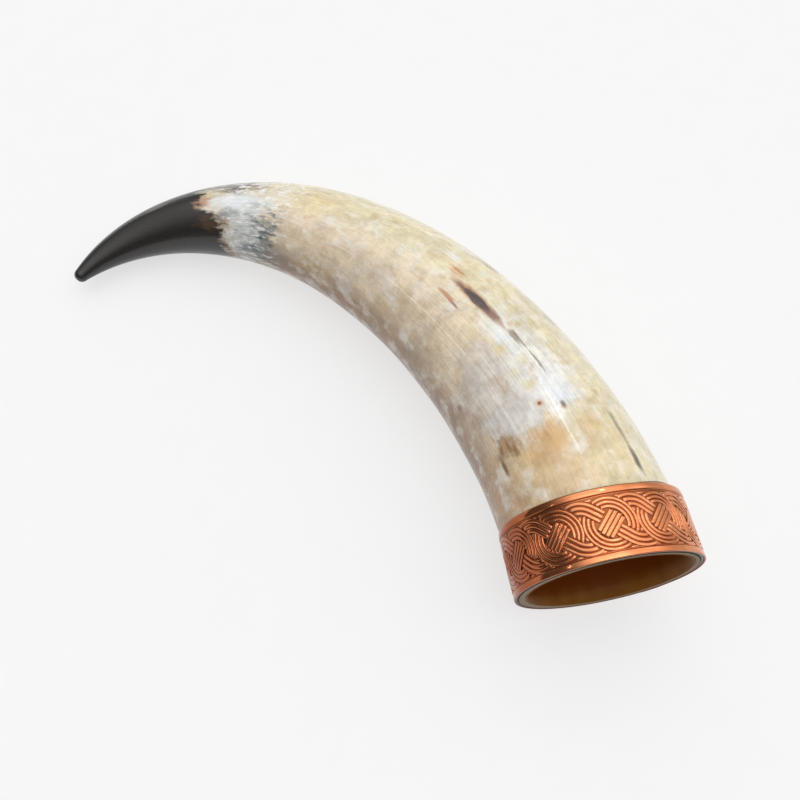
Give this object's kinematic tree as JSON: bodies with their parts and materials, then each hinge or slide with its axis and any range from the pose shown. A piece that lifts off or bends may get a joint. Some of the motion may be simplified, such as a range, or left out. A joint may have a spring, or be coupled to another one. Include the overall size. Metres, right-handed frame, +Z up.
{
  "type": "drinking horn",
  "caption": "Hollow curved drinking horn lying on its side, with a solid pointed tip and an embossed copper band round its open mouth.",
  "frame": {"origin": "on the table the horn lies on, under the middle of its bounding box", "axes": "+Z up; +X along the longest extent, away from the tip; the mouth looks towards -Y and slightly up"},
  "size_m": [0.2542, 0.233, 0.0804],
  "materials": {
    "horn": "polished natural horn, cream to dark brown",
    "seal": "clear food-safe coat over the dark inside of the horn",
    "resin": "set resin",
    "copper": "polished embossed copper",
    "solder": "soft solder"
  },
  "bodies": {
    "root": {"horn": "horn", "inner_seal": "seal", "adhesive_bed": "resin", "rim_band": "copper", "seam_solder": "solder"}
  },
  "joints": []
}
